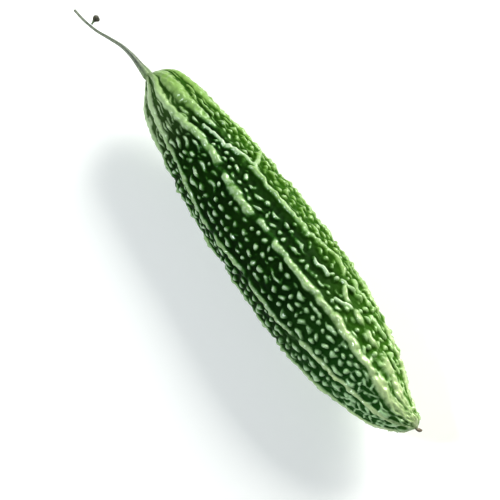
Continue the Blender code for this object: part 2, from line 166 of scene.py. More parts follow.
# Points on the half section, to space its rings evenly and to look its radius up
CURVE_SAMPLES = 2000
LOOKUP_SAMPLES = 400

# The finest relief: small warts strewn over the skin, and low lumps all over it
SMALL_WARTS = 850
SUNNY_SHARE = 0.3
SUNNY_SIDE = (math.radians(25), math.radians(100))
SMALL_WART_HALF = (0.9 * MM, 1.5 * MM)
SMALL_WART_STRETCH = (1, 1.7)
SMALL_WART_HEIGHT = (0.5 * MM, 1.3 * MM)
SMALL_WART_TILT = math.radians(40)
# Nine more, all alike, are set in the smooth groove, at these distances along the skin, in mm,
# and angles, in degrees
GROOVE_WARTS = (
    (134, 25), (138.5, 22), (140, 30), (144, 26), (146, 33), (149, 28), (152, 34), (154, 29),
    (126, 20),
)
GROOVE_WART_HALF_LENGTH = 2.3 * MM
GROOVE_WART_HALF_WIDTH = 1.5 * MM
GROOVE_WART_HEIGHT = 1.9 * MM
LUMP_LENGTH = (2.6 * MM, 6.5 * MM)
LUMP_WAVES = 30
LUMP_SHARE = 0.06
LUMP_HEIGHT = 0.13 * MM
NECK_LUMP_SHARE = 0.35
DETAIL_SEED = 5
# How pale the tops are, partly their own paler green and partly a painted highlight: a wart's pale
# top is narrower than its foot by this, and has this share of its paleness where the wart is flat.
# It gathers in the middle by this power, and the small warts and the net are less pale than the rest
CROWN_NARROWS = 0.9
FLAT_CROWN_SHARE = 0.6
CROWN_POWER = 1.5
SMALL_CROWN_SHARE = 0.6
NET_CROWN_SHARE = 0.8
# A point's standing is measured against the grid points up to this many away
STANDING_REACH = 4

# The net of fine ridges towards the tip
NET_FROM = 202 * MM
NET_FADE = 14 * MM
NET_CELLS = 210
NET_STRAY = 0.3 * MM
NET_THREAD = 0.95 * MM
NET_HEIGHT = 1.0 * MM
# It is uneven over these lengths: its usual height as a share, how far that swings and its limits
NET_UNEVEN = (4 * MM, 11 * MM)
NET_USUAL = 0.8
NET_SWING = 0.3
NET_LIMITS = (0.1, 1.2)

# The grid of points on the skin: rings from neck to tip, and points round each
RINGS = 384
SIDES = 258


def smooth(at, knots, values):
    """Cubic curve through the values at the knots; each knot's slope comes from its neighbours."""
    at = np.asarray(at, float)
    knots = np.asarray(knots, float)
    values = np.asarray(values, float)
    slopes = np.gradient(values, knots)
    i = np.clip(np.searchsorted(knots, at) - 1, 0, len(knots) - 2)
    span = knots[i + 1] - knots[i]
    t = np.clip((at - knots[i]) / span, 0, 1)
    start = (1 + 2 * t) * (1 - t) ** 2 * values[i] + t * (1 - t) ** 2 * span * slopes[i]
    end = t * t * (3 - 2 * t) * values[i + 1] + t * t * (t - 1) * span * slopes[i + 1]
    return start + end


def ease(low, high, value):
    """0 below low, 1 above high, and a smooth step between them: 3t squared less 2t cubed."""
    t = np.clip((value - low) / (high - low), 0, 1)
    return t * t * (3 - 2 * t)


def turned(angle):
    """The angle brought into -180 to 180 degrees."""
    return (angle + math.pi) % (2 * math.pi) - math.pi


def even_profile(count):
    """Points (x, radius) evenly spaced along the skin's half section, and their distance along it:
    a smooth curve through the stations, measured and cut into equal lengths."""
    stations = np.array(SKIN_PROFILE) * MM
    chords = np.concatenate([[0], np.cumsum(np.hypot(*np.diff(stations, axis=0).T))])
    fine = np.linspace(0, chords[-1], CURVE_SAMPLES)
    x = smooth(fine, chords, stations[:, 0])
    radius = smooth(fine, chords, stations[:, 1])
    along = np.concatenate([[0], np.cumsum(np.hypot(np.diff(x), np.diff(radius)))])
    even = np.linspace(0, along[-1], count)
    return np.interp(even, along, x), np.interp(even, along, radius), even


def middle_line(x):
    """Sideways place and height of the section's middle, a smooth curve through its stations,
    raised until the lowest valley is VALLEY_LIFT above rest."""
    from_neck, aside, lift = np.array(MIDDLE_LINE).T * MM
    skin_x, radius, _ = even_profile(LOOKUP_SAMPLES)
    height = (radius - smooth(skin_x, from_neck, lift)).max() + VALLEY_LIFT
    return smooth(x, from_neck, aside), smooth(x, from_neck, lift) + height


def rib_angle(rib, along):
    """The rib's angle at these distances along the skin: a smooth curve through its stations, with
    an eased step aside at each break, to either side in turn."""
    lap, rib = divmod(rib, len(RIB_ANGLES))
    angle = smooth(along, np.array(RIB_STATIONS) * MM, np.radians(RIB_ANGLES[rib]))
    angle = angle + 2 * math.pi * lap
    side = 1 if rib % 2 else -1
    for place in RIB_BREAKS[rib]:
        stepped = ease(-BREAK_STEP_LENGTH / 2, BREAK_STEP_LENGTH / 2, along - place * MM)
        angle = angle + side * BREAK_STEP * (stepped - 0.5)
        side = -side
    return angle


def thin_share(radius):
    """Size of the relief where the skin has this radius, as a share of its full size."""
    return np.minimum(1, THIN_SHARE + (1 - THIN_SHARE) * radius / FULL_RADIUS)


def drawn_curve(along, spacing, low, high, rng):
    """Smooth curve along the skin through seeded values between low and high."""
    knots = np.arange(-spacing, SKIN_REACH + 2 * spacing, spacing)
    return smooth(along, knots, rng.uniform(low, high, len(knots)))


def ribs_relief(along, angle, radius, rng):
    """Height of the ribs over the skin, and their crowns. Across a rib, its crest is 1 less the
    squared distance from its course, on a broader foot that is the square of the same form. Its
    height, sides and course are seeded curves, and a bell-shaped dip breaks it. The crown rises
    from 0 at a crest's foot to 1 along its middle."""
    height = np.zeros(angle.shape)
    crown = height
    risen = ease(*RIBS_RISE, along)
    knobby = ease(*KNOBS_RISE, along)
    size = thin_share(radius)
    standing = NECK_RIB_SHARE + (1 - NECK_RIB_SHARE) * risen
    standing = standing * (1 - (1 - TIP_RIB_SHARE) * ease(*RIBS_SINK, along)) * size
    shapes = zip(RIB_HEIGHTS, RIB_WIDTHS, RIB_NECK_WIDTHS, RIB_TIP_WIDTHS)
    for rib, (tall, wide, neck_wide, tip_wide) in enumerate(shapes):
        knob = 1 + knobby * (drawn_curve(along, KNOB_SPACING, *KNOB_HEIGHTS, rng) - 1)
        left = 1 + knobby * (drawn_curve(along, KNOB_SPACING, *KNOB_WIDTHS, rng) - 1)
        right = 1 + knobby * (drawn_curve(along, KNOB_SPACING, *KNOB_WIDTHS, rng) - 1)
        sway = drawn_curve(along, SWAY_SPACING, -SWAY_REACH, SWAY_REACH, rng) * risen
        for place in RIB_BREAKS[rib]:
            past = (along - place * MM) / BREAK_HALF_LENGTH
            knob = knob * (1 - (1 - BREAK_LEFT) * np.exp(-(past**2)))
        aside = turned(angle - rib_angle(rib, along)) * radius - sway
        width = neck_wide + (wide - neck_wide) * ease(*NECK_NARROWS, along)
        half = RIB_HALF_WIDTH * size * (width + (tip_wide - wide) * ease(*TIP_WIDENS, along))
        across = np.clip(1 - (aside / (half * np.where(aside < 0, left, right))) ** 2, 0, 1)
        foot = np.clip(1 - (aside / (half + FOOT_SPREAD * size)) ** 2, 0, 1) ** 2
        raised = FOOT_SHARE * foot + (1 - FOOT_SHARE) * knob * across
        height = np.maximum(height, RIB_HEIGHT * tall * standing * raised)
        crown = np.maximum(crown, across * np.minimum(1, knob))
    return height, crown


def wart_list(rng):
    """Warts as (distance along, angle, half length, half width, height, tilt): rows evenly spread
    over the angle between two ribs, with seeded sizes and gaps along each row."""
    _, radii, path = even_profile(LOOKUP_SAMPLES)
    warts = []
    for rib in range(len(RIB_ANGLES)):
        gap = rib_angle(rib + 1, ROWS_COUNTED_AT) - rib_angle(rib, ROWS_COUNTED_AT)
        rows = max(LEAST_ROWS, round(gap / ROW_ANGLE) - 1)
        for row in range(rows):
            along = WARTS_FROM + rng.uniform(0, 4 * WART_HALF_LENGTH[0])
            while along < WARTS_TO:
                first = rib_angle(rib, along)
                groove = GROOVES[rib] * (1 - ease(*GROOVES_END, along))
                spaces = rows - 1 + 2 * ROW_MARGIN + groove
                row_angle = (rib_angle(rib + 1, along) - first) / spaces
                radius = np.interp(along, path, radii)
                size = thin_share(radius)
                most_width = WART_MOST_WIDTH * row_angle * radius
                half_width = min(rng.uniform(*WART_HALF_WIDTH) * size, most_width)
                half_length = rng.uniform(*WART_HALF_LENGTH) * (1 + size) / 2
                half_length *= 1 + NECK_STRETCH * (1 - ease(0, STRETCH_ENDS, along))
                tilt = rng.uniform(-WART_TILT, WART_TILT)
                if rng.random() < LONG_WART_SHARE:
                    half_length *= rng.uniform(*LONG_WART_STRETCH)
                risen = NECK_WART_SHARE + (1 - NECK_WART_SHARE) * ease(*WARTS_RISE, along)
                height = rng.uniform(*WART_HEIGHT) * size * risen
                in_row = ROW_MARGIN + row + rng.uniform(-ROW_WANDER, ROW_WANDER)
                angle = float(first + row_angle * in_row)
                middle = along + half_length
                warts.append((middle, angle, half_length, half_width, height, tilt * risen))
                along += 2 * half_length + rng.uniform(*WART_GAP)
    return warts


def small_wart_list(rng):
    """Small warts in the same form: strewn evenly by seed over the skin, a share of them over its
    sunny side alone, and those that are set in the groove."""
    _, radii, path = even_profile(LOOKUP_SAMPLES)
    along = rng.uniform(WARTS_FROM, WARTS_TO, SMALL_WARTS)
    size = thin_share(np.interp(along, path, radii))
    angle = rng.uniform(-math.pi, math.pi, SMALL_WARTS)
    sunny = rng.random(SMALL_WARTS) < SUNNY_SHARE
    angle = np.where(sunny, rng.uniform(*SUNNY_SIDE, SMALL_WARTS), angle)
    half = rng.uniform(*SMALL_WART_HALF, SMALL_WARTS) * size
    stretch = rng.uniform(*SMALL_WART_STRETCH, SMALL_WARTS)
    height = rng.uniform(*SMALL_WART_HEIGHT, SMALL_WARTS) * size * ease(*WARTS_RISE, along)
    tilt = rng.uniform(-SMALL_WART_TILT, SMALL_WART_TILT, SMALL_WARTS)
    strewn = zip(along, angle, half * stretch, half, height, tilt)
    form = (GROOVE_WART_HALF_LENGTH, GROOVE_WART_HALF_WIDTH, GROOVE_WART_HEIGHT, 0.0)
    return (*strewn, *((place * MM, math.radians(turn), *form) for place, turn in GROOVE_WARTS))


def warts_relief(along, angle, radius, warts):
    """Height of the warts over the skin, and their crowns. Each wart is a steep-sided dome: 1 less
    the squared distances along and across its tilted oval, to a power. Its crown is a narrower
    oval that rises from 0 to 1 at a tall one's middle."""
    height = np.zeros(angle.shape)
    crown = height.copy()
    nearest, farthest = along.min(1), along.max(1)
    for place, at_angle, half_length, half_width, top, tilt in warts:
        near = np.nonzero((farthest > place - half_length) & (nearest < place + half_length))[0]
        ring = slice(near[0], near[-1] + 1)
        ahead = along[ring] - place
        across = turned(angle[ring] - at_angle) * radius[ring]
        lengthwise = ahead * math.cos(tilt) + across * math.sin(tilt)
        sideways = across * math.cos(tilt) - ahead * math.sin(tilt)
        dome = np.clip(1 - (lengthwise / half_length) ** 2 - (sideways / half_width) ** 2, 0, 1)
        height[ring] = np.maximum(height[ring], top * dome**WART_STEEPNESS)
        pale = np.clip(dome - CROWN_NARROWS * (sideways / half_width) ** 2, 0, 1)
        paleness = FLAT_CROWN_SHARE + (1 - FLAT_CROWN_SHARE) * top / WART_HEIGHT[1]
        crown[ring] = np.maximum(crown[ring], pale * paleness)
    return height, crown


def links_relief(along, angle, radius):
    """Height of the short ridges over the skin, and their crowns. A ridge's crown is 1 less the
    squared distance from its straight line, and its height is that to a power."""
    crown = np.zeros(angle.shape)
    for (from_along, from_angle), (to_along, to_angle) in LINKS:
        ahead = along - from_along * MM
        across = turned(angle - math.radians(from_angle)) * radius
        reach = (to_along - from_along) * MM
        reach_across = math.radians(to_angle - from_angle) * radius
        share = np.clip((ahead * reach + across * reach_across) / (reach**2 + reach_across**2), 0, 1)
        distance = np.hypot(ahead - share * reach, across - share * reach_across)
        crown = np.maximum(crown, 1 - (distance / LINK_HALF_WIDTH) ** 2)
    return LINK_HEIGHT * thin_share(radius) * crown**WART_STEEPNESS, crown


def callus_relief(x, angle, radius):
    """Height of the callus that fills the valleys where the fruit rests: half an ellipsoid, whose
    top the surface under the fruit cuts flat."""
    across = turned(angle - math.pi) * radius
    foot = ((x - SPOT_FROM_NECK) / CALLUS_HALF_LENGTH) ** 2 + (across / CALLUS_HALF_WIDTH) ** 2
    return CALLUS_THICKNESS * np.clip(1 - foot, 0, 1) ** 0.5


def ripples(along, angle, lengths, count, rng):
    """Seeded unevenness between about -2 and 2: sine waves of these lengths in all directions,
    each a whole number of times round the fruit, summed."""
    total = 0
    for _ in range(count):
        length = rng.uniform(*lengths)
        heading = rng.uniform(0, 2 * math.pi)
        round_it = round(2 * math.pi * MEAN_RADIUS / length * math.sin(heading))
        wave = 2 * math.pi * along / length * math.cos(heading) + round_it * angle
        total = total + np.sin(wave + rng.uniform(0, 2 * math.pi))
    return total / math.sqrt(count / 2)


def net_relief(along, angle, radius, rng):
    """The net of fine ridges near the tip, from 0 in its cells to 1 on its threads: a thread runs
    where two seeded points are equally near."""
    _, radii, path = even_profile(LOOKUP_SAMPLES)
    share = radii * ease(NET_FROM - NET_FADE, NET_FROM, path)
    place = rng.choice(path, NET_CELLS, p=share / share.sum())
    place = place + rng.uniform(-NET_STRAY, NET_STRAY, NET_CELLS)
    at_angle = rng.uniform(-math.pi, math.pi, NET_CELLS)
    net = np.zeros(angle.shape)
    near = along.max(1) > NET_FROM - NET_FADE
    across = turned(angle[near][..., None] - at_angle) * radius[near][..., None]
    nearest = np.partition(np.sqrt((along[near][..., None] - place) ** 2 + across**2), 1, axis=2)
    thread = np.exp(-(((nearest[..., 1] - nearest[..., 0]) / NET_THREAD) ** 2))
    net[near] = thread * ease(NET_FROM - NET_FADE, NET_FROM + NET_FADE, along[near])
    return net


def standing_out(relief, reach):
    """How far the relief stands above its mean over the grid points around it, up to reach away."""
    steps = range(-reach, reach + 1, 2)
    mean = sum(np.roll(relief, (i, j), (0, 1)) for i in steps for j in steps) / len(steps) ** 2
    return relief - mean


def fruit_skin():
    """Grid of points on the skin, and what its finish reads: the crowns of ribs and warts, and how
    far each point stands out from those around it, as a share of the warts' usual height. The
    relief is the forms' heights to a power, summed and rooted, and it stands square to the half
    section, which is turned round the middle line."""
    x, radius, path = even_profile(RINGS)
    slope_x = np.gradient(x, path)[:, None]
    slope_r = np.gradient(radius, path)[:, None]
    middle_y, middle_z = middle_line(x[:, None])
    x, radius, along = x[:, None], radius[:, None], path[:, None]
    angle = np.linspace(-math.pi, math.pi, SIDES, endpoint=False)[None, :]
    rng = np.random.default_rng(SEED)
    size = thin_share(radius)
    pulled = along + WARP_REACH * size * ripples(along, angle, WARP_LENGTH, WARP_WAVES, rng)
    twist = WARP_REACH * size / radius * ripples(along, angle, WARP_LENGTH, WARP_WAVES, rng)
    twisted = angle + twist
    ribs, rib_crown = ribs_relief(along, angle + RIB_WARP_SHARE * twist, radius, rng)
    warts, wart_crown = warts_relief(pulled, twisted, radius, wart_list(rng))
    links, link_crown = links_relief(pulled, twisted, radius)
    fine = np.random.default_rng(DETAIL_SEED)
    small, small_crown = warts_relief(pulled, twisted, radius, small_wart_list(fine))
    net = net_relief(pulled, twisted, radius, fine)
    net *= np.clip(
        NET_USUAL + NET_SWING * ripples(along, angle, NET_UNEVEN, WARP_WAVES, fine), *NET_LIMITS
    )
    wartless = 1 - ease(NET_FROM, NET_FROM + 2 * NET_FADE, along)
    forms = (ribs, warts * wartless, links, small * wartless, NET_HEIGHT * net)
    relief = sum(form**BLEND for form in forms) ** (1 / BLEND)
    relief = np.maximum(relief, callus_relief(x, angle, radius))
    lumps = ripples(along, angle, LUMP_LENGTH, LUMP_WAVES, fine)
    warts_risen = ease(*WARTS_RISE, along)
    lumps_risen = NECK_LUMP_SHARE + (1 - NECK_LUMP_SHARE) * warts_risen
    relief += lumps * (LUMP_SHARE * relief + LUMP_HEIGHT * size) * lumps_risen
    relief *= ease(0, BARE_NECK, along) * ease(0, BARE_TIP, path[-1] - along)
    out = radius + relief * slope_x
    points = np.empty((RINGS, SIDES, 3))
    points[..., 0] = x - relief * slope_r - SPOT_FROM_NECK
    points[..., 1] = middle_y + out * np.sin(angle) - SPOT_ASIDE
    points[..., 2] = np.maximum(0, middle_z + out * np.cos(angle))
    crown = np.maximum.reduce([
        (wart_crown * wartless) ** CROWN_POWER, link_crown,
        SMALL_CROWN_SHARE * (small_crown * wartless), NET_CROWN_SHARE * net,
    ])
    usual = WART_HEIGHT[1] * size * (NECK_WART_SHARE + (1 - NECK_WART_SHARE) * warts_risen)
    return points, rib_crown, crown, standing_out(relief, STANDING_REACH) / usual


def closed_tube(name, points):
    """Mesh through a grid of rings: a quad between each four neighbours, and a fan of triangles
    from the middle of each end ring, smooth all over."""
    rings, sides = points.shape[:2]
    index = np.arange(rings * sides).reshape(rings, sides)
    here, on = index[:-1], index[1:]
    quads = np.stack([here, on, np.roll(on, -1, 1), np.roll(here, -1, 1)], -1).reshape(-1, 4)
    first, last = rings * sides, rings * sides + 1
    start = np.stack([np.full(sides, first), index[0], np.roll(index[0], -1)], 1)
    end = np.stack([np.full(sides, last), np.roll(index[-1], -1), index[-1]], 1)
    corners = np.concatenate([points.reshape(-1, 3), points[:1].mean(1), points[-1:].mean(1)])
    faces = quads.tolist() + start.tolist() + end.tolist()
    mesh = bpy.data.meshes.new(name)
    mesh.from_pydata(corners.tolist(), [], faces)
    mesh.shade_smooth()
    return mesh


def mark(mesh, name, values):
    """Keeps a number for each point of a tube's grid in the mesh, for its material to read."""
    ends = [values[0].mean(), values[-1].mean()]
    made = mesh.attributes.new(name, "FLOAT", "POINT")
    made.data.foreach_set("value", np.concatenate([values.ravel(), ends]).astype(np.float32))


def add_piece(name, mesh, finish, node):
    """The piece in the scene, riding on the part's one body in place of its plain solid."""
    mesh.materials.append(finish)
    piece = bpy.data.objects.new(name, mesh)
    bpy.context.scene.collection.objects.link(piece)
    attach(piece, "root")
    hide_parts(node)


class Nodes:
    """A material's or group's node tree, with one short call for each node that it needs."""

    # Where a Mix node keeps its share and its two colours, and the colour between them
    MIX_INPUTS = (0, 6, 7)
    MIX_RESULT = 2

    def __init__(self, tree):
        self.tree = tree

    def add(self, kind, settings=None, **inputs):
        """A node of this kind with its settings, each named input set to a value or linked."""
        node = self.tree.nodes.new("ShaderNode" + kind)
        for name, value in (settings or {}).items():
            setattr(node, name, value)
        for name, value in inputs.items():
            self.fill(node.inputs[name.replace("_", " ")], value)
        return node

    def fill(self, socket, value):
        """Links the socket to the value, or sets it where the value is a constant."""
        if isinstance(value, bpy.types.NodeSocket):
            self.tree.links.new(value, socket)
        else:
            socket.default_value = value

    def number(self, name):
        """What the mesh keeps under this name."""
        return self.add("Attribute", {"attribute_name": name}).outputs["Fac"]

    def maths(self, operation, *values):
        """Arithmetic on one, two or three values."""
        node = self.add("Math", {"operation": operation})
        for socket, value in zip(node.inputs, values):
            self.fill(socket, value)
        return node.outputs[0]

    def span(self, value, low, high, to_low=0.0, to_high=1.0):
        """The value's place between low and high, with a smooth start and end."""
        made = self.add(
            "MapRange", {"interpolation_type": "SMOOTHSTEP"}, Value=value, From_Min=low, From_Max=high,
            To_Min=to_low, To_Max=to_high,
        )
        return made.outputs[0]

    def mix(self, share, first, second):
        """Colour between first and second."""
        node = self.add("Mix", {"data_type": "RGBA"})
        for place, value in zip(self.MIX_INPUTS, (share, first, second)):
            self.fill(node.inputs[place], value)
        return node.outputs[self.MIX_RESULT]

    def ramp(self, value, stops):
        """Colour read from a ramp with these (place, colour) stops."""
        node = self.add("ValToRGB", Fac=value)
        elements = node.color_ramp.elements
        while len(elements) < len(stops):
            elements.new(1)
        for element, (place, colour) in zip(elements, stops):
            element.position = place
            element.color = colour
        return node.outputs[0]


def new_material(name):
    """Material with nodes: its tree and its Principled shader."""
    made = bpy.data.materials.new(name)
    made.use_nodes = True
    return made, Nodes(made.node_tree), made.node_tree.nodes["Principled BSDF"]


# The mottle: the noise at which a cloud begins and is full, the distance from a pore's middle to
# its edge, and how much finer the pores are than the fine cloud
CLOUD_EDGES = (0.3, 0.7)
PORE_EDGES = (0.0, 0.5)
PORES_FINER = 1.7


def mottle_group():
    """Uneven growth as a group: a broad and a fine cloud of noise, and pores, which are the
    distance to the nearest seeded point; each between 0 and 1."""
    tree = bpy.data.node_groups.new("mottle", "ShaderNodeTree")
    for name in ("Broad", "Fine"):
        tree.interface.new_socket(name, in_out="INPUT", socket_type="NodeSocketFloat")
    for name in ("Broad cloud", "Fine cloud", "Pores"):
        tree.interface.new_socket(name, in_out="OUTPUT", socket_type="NodeSocketFloat")
    nodes = Nodes(tree)
    given = tree.nodes.new("NodeGroupInput").outputs
    out = tree.nodes.new("NodeGroupOutput").inputs
    place = nodes.add("TexCoord").outputs["Object"]
    broad = nodes.add("TexNoise", Vector=place, Scale=given["Broad"], Detail=3.0, Roughness=0.55)
    fine = nodes.add("TexNoise", Vector=place, Scale=given["Fine"], Detail=4.0, Roughness=0.6)
    finer = nodes.maths("MULTIPLY", given["Fine"], PORES_FINER)
    pores = nodes.add("TexVoronoi", Vector=place, Scale=finer)
    nodes.fill(out["Broad cloud"], nodes.span(broad.outputs["Fac"], *CLOUD_EDGES))
    nodes.fill(out["Fine cloud"], nodes.span(fine.outputs["Fac"], *CLOUD_EDGES))
    nodes.fill(out["Pores"], nodes.span(pores.outputs["Distance"], *PORE_EDGES))
    return tree


# The skin's colours by level, from 0 deep in the valleys to 1 on the tops of ribs and warts. The
# near-black deep in the valleys is partly painted shade, and the whitish pale of the tops partly a
# painted highlight
BODY_COLOURS = (
    (0.0, (0.001, 0.006, 0.001, 1)),
    (0.3, (0.002, 0.020, 0.001, 1)),
    (0.46, (0.013, 0.075, 0.008, 1)),
    (0.6, (0.085, 0.210, 0.055, 1)),
    (0.85, (0.460, 0.610, 0.400, 1)),
)
# Painted light: the +Y side, which faces the key lamp, is painted lighter and yellower, between these
# colours
PAINTED_LIT_COLOURS = ((0.024, 0.098, 0.002, 1), (0.190, 0.360, 0.060, 1))
ROOT_COLOURS = ((0.028, 0.055, 0.016, 1), (0.200, 0.290, 0.120, 1))
CREST_COLOUR = (0.220, 0.390, 0.090, 1)
# Those of the neck and of the tip in lit and shaded copies, painted light and shade: the first for the
# +Y side, which faces the key lamp, the second for the -Y side. At the neck the -Y copies are painted
# paler, and at the tip the +Y valleys are painted lighter, the -Y valleys darker and the -Y tops a
# paler, bluer green
NECK_VALLEYS = ((0.018, 0.070, 0.003, 1), (0.045, 0.095, 0.022, 1))
NECK_TOPS = ((0.200, 0.345, 0.080, 1), (0.500, 0.640, 0.360, 1))
TIP_VALLEYS = ((0.040, 0.142, 0.006, 1), (0.010, 0.066, 0.007, 1))
TIP_TOPS = ((0.360, 0.590, 0.190, 1), (0.420, 0.680, 0.330, 1))
TIP_CREST_COLOUR = (0.550, 0.690, 0.320, 1)
# Between these levels each goes from its valley's colour to its top's
PAINTED_LIT_LEVELS = (0.12, 0.85)
NECK_LEVELS = (0.12, 0.62)
ROOT_LEVELS = (0.1, 0.7)
TIP_LEVELS = (0.15, 0.75)
# Where the colours change, along X from the resting spot and along Y across the fruit, and how
# much of each shows
TIP_PALES = (12 * MM, 110 * MM)
TIP_SHARE = 0.95
NECK_GREYS = (-62 * MM, -102 * MM)
NECK_SHARE = 0.85
ROOT_DULLS = (-113.5 * MM, -119 * MM)
# Where the painted light of the +Y side sets in, how much of it shows, and how much of the broad cloud's
# patches goes into it
PAINTED_LIT_EDGE = (5 * MM, 21 * MM)
PAINTED_LIT_SHARE = 0.8
PAINTED_LIT_CLOUD_SHARE = 0.12
# Along Y the lit copies give way to the shaded ones between these: painted light and shade
SHADED_EDGE = (6 * MM, -12 * MM)
CREST_EDGE = (0.35, 1.0)
CREST_SHARE = 0.7
# What the level is summed from: the crown, how far the point stands out and the fine cloud. A point
# that lies below those around it, in a crease, gets a lower level and a darker colour: painted shade
CROWN_LEVEL = 0.55
OUT_LEVEL = 0.45
OUT_RANGE = (-0.35, 0.45)
CLOUD_LEVEL = 0.2
# The wax lies on the tops, and thins towards the neck and on the sunny side. The skin is rough
# in the valleys and smooth on the tops, and pores and fine cloud roughen it
WAX_LEVELS = (0.35, 0.75)
WAX_TO_NECK = (-110 * MM, -60 * MM, 0.3, 1.0)
WAX_TO_SUN = (0, 15 * MM, 1.0, 0.6)
ROUGH_TO_SMOOTH = (0.1, 0.7, 0.6, 0.24)
CLOUD_ROUGHNESS = 0.12
PORE_SHARE = 0.5
PORE_DEPTH = 0.18 * MM


def skin_material(mottle):
    """Waxy skin, dark green in the valleys and pale on crests and warts, with painted shade deepening
    the valleys and creases and a painted highlight on the wart tops. Its +Y side, lit by the key lamp,
    is painted lighter and yellower, with patches of the broad cloud, and the neck and tip take lit and
    shaded copies of their colours by side: painted light and shade. It is greyer at the neck, duller
    round the stalk's root and paler towards the tip, each mixed in by an eased share of the place."""
    made, nodes, shader = new_material("gourd_skin")
    clouds = nodes.add("Group", {"node_tree": mottle}, Broad=38.0, Fine=420.0).outputs
    place = nodes.add("SeparateXYZ", Vector=nodes.add("TexCoord").outputs["Object"]).outputs
    x, y = place["X"], place["Y"]
    crown = nodes.number("crown")
    rib = nodes.number("rib")
    # Painted shade and painted highlight: creases, which lie below the points around them, are painted
    # darker, and points that stand out paler
    out = nodes.span(nodes.number("out"), *OUT_RANGE)
    ragged = nodes.maths("MULTIPLY_ADD", clouds["Fine cloud"], CLOUD_LEVEL, -CLOUD_LEVEL / 2)
    top = nodes.maths("MULTIPLY", nodes.maths("MAXIMUM", crown, rib), CROWN_LEVEL)
    level = nodes.maths("MULTIPLY_ADD", out, OUT_LEVEL, top)
    level = nodes.maths("ADD", level, ragged)
    # Painted light: towards +Y, where the key lamp falls, the skin is painted lighter and yellower, with
    # patches of the broad cloud mixed in
    cloudy = nodes.maths("MULTIPLY", clouds["Broad cloud"], PAINTED_LIT_CLOUD_SHARE)
    painted_light_and_cloud = nodes.maths("MULTIPLY_ADD", nodes.span(y, *PAINTED_LIT_EDGE), PAINTED_LIT_SHARE, cloudy)
    painted_light_colour = nodes.mix(nodes.span(level, *PAINTED_LIT_LEVELS), *PAINTED_LIT_COLOURS)
    body_and_painted_light = nodes.mix(painted_light_and_cloud, nodes.ramp(level, BODY_COLOURS), painted_light_colour)
    crest = nodes.maths("MULTIPLY", nodes.span(rib, *CREST_EDGE), CREST_SHARE)
    ridged = nodes.mix(crest, body_and_painted_light, CREST_COLOUR)
    # Painted light and shade: the -Y side, away from the key lamp, takes the shaded copies of the neck
    # and tip colours
    shade = nodes.span(y, *SHADED_EDGE)
    neck_valley = nodes.mix(shade, *NECK_VALLEYS)
    grey = nodes.mix(nodes.span(level, *NECK_LEVELS), neck_valley, nodes.mix(shade, *NECK_TOPS))
    neck = nodes.maths("MULTIPLY", nodes.span(x, *NECK_GREYS), NECK_SHARE)
    greyed = nodes.mix(neck, ridged, grey)
    root = nodes.mix(nodes.span(level, *ROOT_LEVELS), *ROOT_COLOURS)
    dulled = nodes.mix(nodes.span(x, *ROOT_DULLS), greyed, root)
    tip_valley = nodes.mix(shade, *TIP_VALLEYS)
    tip_top = nodes.mix(rib, nodes.mix(shade, *TIP_TOPS), TIP_CREST_COLOUR)
    paled = nodes.mix(nodes.span(level, *TIP_LEVELS), tip_valley, tip_top)
    tip = nodes.maths("MULTIPLY", nodes.span(x, *TIP_PALES), TIP_SHARE)
    nodes.fill(shader.inputs["Base Color"], nodes.mix(tip, dulled, paled))
    smoothed = nodes.span(level, *ROUGH_TO_SMOOTH)
    rough = nodes.maths("MULTIPLY_ADD", clouds["Fine cloud"], CLOUD_ROUGHNESS, smoothed)
    nodes.fill(shader.inputs["Roughness"], rough)
    wax = nodes.maths("MULTIPLY", nodes.span(x, *WAX_TO_NECK), nodes.span(y, *WAX_TO_SUN))
    gloss = nodes.maths("MULTIPLY", nodes.span(level, *WAX_LEVELS), wax)
    nodes.fill(shader.inputs["Coat Weight"], gloss)
    grain = nodes.maths("MULTIPLY_ADD", clouds["Pores"], PORE_SHARE, clouds["Fine cloud"])
    bump = nodes.add("Bump", Strength=0.35, Distance=PORE_DEPTH, Height=grain)
    nodes.fill(shader.inputs["Normal"], bump.outputs[0])
    shader.inputs["Subsurface Weight"].default_value = 0.05
    shader.inputs["Subsurface Radius"].default_value = (0.5, 1.0, 0.25)
    shader.inputs["Subsurface Scale"].default_value = 0.001
    shader.inputs["Coat Roughness"].default_value = 0.16
    shader.inputs["Specular IOR Level"].default_value = 0.1
    shader.inputs["Specular Tint"].default_value = (0.35, 1.0, 0.2, 1)
    return made


mottle = mottle_group()
skin_points, skin_rib, skin_crown, skin_out = fruit_skin()
skin_mesh = closed_tube("gourd_fruit", skin_points)
mark(skin_mesh, "rib", skin_rib)
mark(skin_mesh, "crown", skin_crown)
mark(skin_mesh, "out", skin_out)
add_piece("gourd_fruit", skin_mesh, skin_material(mottle), "fruit")


# The stalk. A thin green stem, cut from the vine, that spreads into the fruit's neck. It is
# fibrous, with five low ridges that wind a little along it, and freshest green at the fruit.

STALK_PATH = (
    (0, 0, 0), (-2.5, 0, 0.08), (-6.3, -0.3, 0.7), (-13.5, -0.8, 2.0), (-20.6, -2.3, 3.3),
    (-28, -5.5, 4.5), (-35.2, -8.9, 5.6), (-42.8, -11.3, 7.3), (-50, -12.8, 9.8),
)
STALK_RADII = ((0, 2.6), (0.05, 2.4), (0.14, 1.85), (0.32, 1.15), (0.6, 0.75), (1, 0.62))
STALK_RINGS = 190
STALK_SIDES = 60
STALK_RIBS = 5
STALK_RIB_DEPTH = 0.13
STALK_TWIST = math.radians(200)
STALK_FRESH = 0.2
STALK_COLOURS = ((0.028, 0.042, 0.024, 1), (0.250, 0.290, 0.200, 1))
STALK_ROUGHNESS = 0.55
